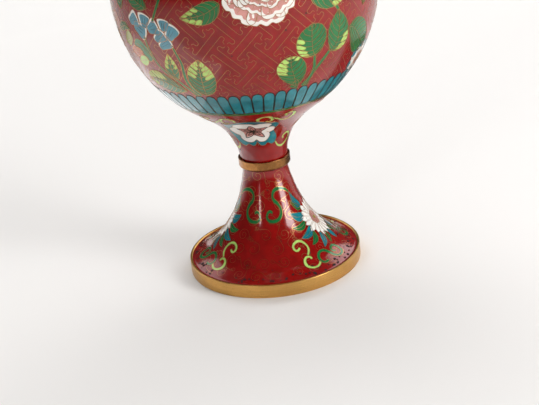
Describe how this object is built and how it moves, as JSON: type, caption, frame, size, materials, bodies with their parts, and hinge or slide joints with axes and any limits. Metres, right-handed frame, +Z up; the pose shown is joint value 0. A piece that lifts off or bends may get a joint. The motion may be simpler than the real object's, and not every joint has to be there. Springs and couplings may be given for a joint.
{
  "type": "cloisonne vase",
  "caption": "Enamelled pedestal vase with a globular body, waisted stem, trumpet foot and flared neck, bound with brass at foot, stem and mouth.",
  "frame": {"origin": "centre of the foot, on the surface the vase stands on", "axes": "+Z up along the vase's axis; -Y is the side of the right and left leaf sprays seen from the front"},
  "size_m": [0.11, 0.11, 0.2286],
  "materials": {
    "red_enamel": "polished gloss",
    "green_enamel": "polished gloss",
    "turquoise_enamel": "polished gloss",
    "counter_enamel": "fired gloss",
    "copper": "spun, oxidised",
    "gilt_wire": "polished flush",
    "rim_brass": "satin brushed",
    "collar_brass": "aged satin",
    "steel": "zinc plated"
  },
  "bodies": {
    "root": {"foot_rim": "rim_brass", "foot_core": "copper", "foot_enamel": "red_enamel", "foot_counter_enamel": "counter_enamel", "foot_top_disc": "copper", "stem_collar": "collar_brass", "waist_base_disc": "copper", "tie_bolt": "steel", "tie_washer": "steel", "tie_nut": "steel", "waist_core": "copper", "body_lower_core": "copper", "body_upper_core": "copper", "neck_core": "copper", "body_counter_enamel": "counter_enamel", "waist_enamel": "red_enamel", "green_border_enamel": "green_enamel", "base_lappet_enamel": "turquoise_enamel", "base_lappet_wires": "gilt_wire", "base_ring_wires": "gilt_wire", "body_enamel": "red_enamel", "shoulder_lappet_enamel": "turquoise_enamel", "shoulder_lappet_wires": "gilt_wire", "shoulder_ring_wires": "gilt_wire", "shoulder_border_enamel": "green_enamel", "neck_enamel": "red_enamel", "mouth_rim": "rim_brass"}
  },
  "joints": []
}
